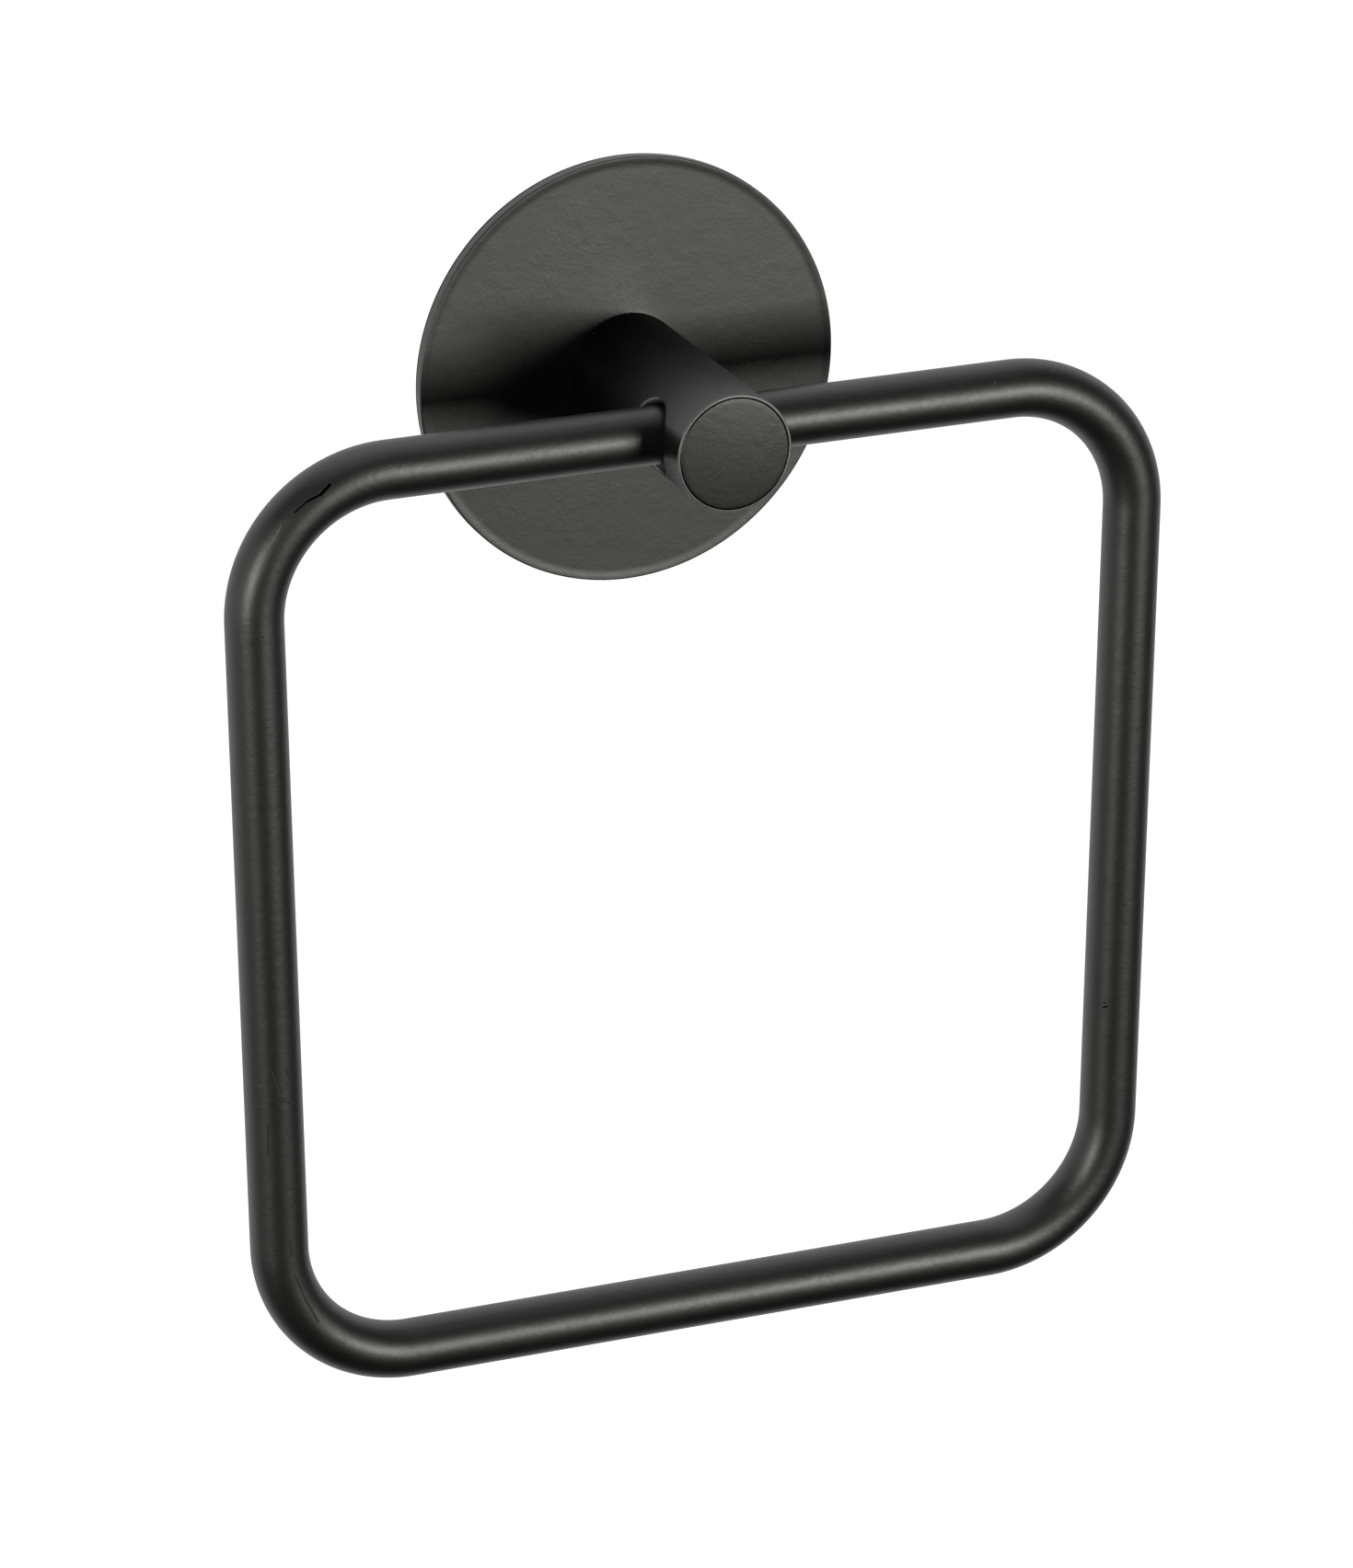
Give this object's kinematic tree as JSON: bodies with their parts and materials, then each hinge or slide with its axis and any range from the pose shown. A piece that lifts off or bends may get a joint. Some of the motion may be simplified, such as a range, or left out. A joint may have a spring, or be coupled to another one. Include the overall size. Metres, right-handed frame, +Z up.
{
  "type": "towel holder",
  "caption": "Square towel ring with rounded corners, bent from round tube, held by a capped round post on a round stick-on wall plate, satin black.",
  "frame": {"origin": "centre of the adhesive pad's back face, which meets the wall", "axes": "+X to the right seen from the front, +Y into the wall along the post's axis, +Z up"},
  "size_m": [0.1702, 0.0512, 0.2035],
  "materials": {
    "black_coat": "satin black powder coat",
    "pad_foam": "matt black adhesive foam",
    "screw_steel": "bare steel"
  },
  "bodies": {
    "root": {"adhesive_pad": "pad_foam", "wall_plate": "black_coat", "plate_screw": "screw_steel", "post": "black_coat", "towel_ring": "black_coat", "ring_set_screw": "screw_steel", "end_cap": "black_coat"}
  },
  "joints": []
}
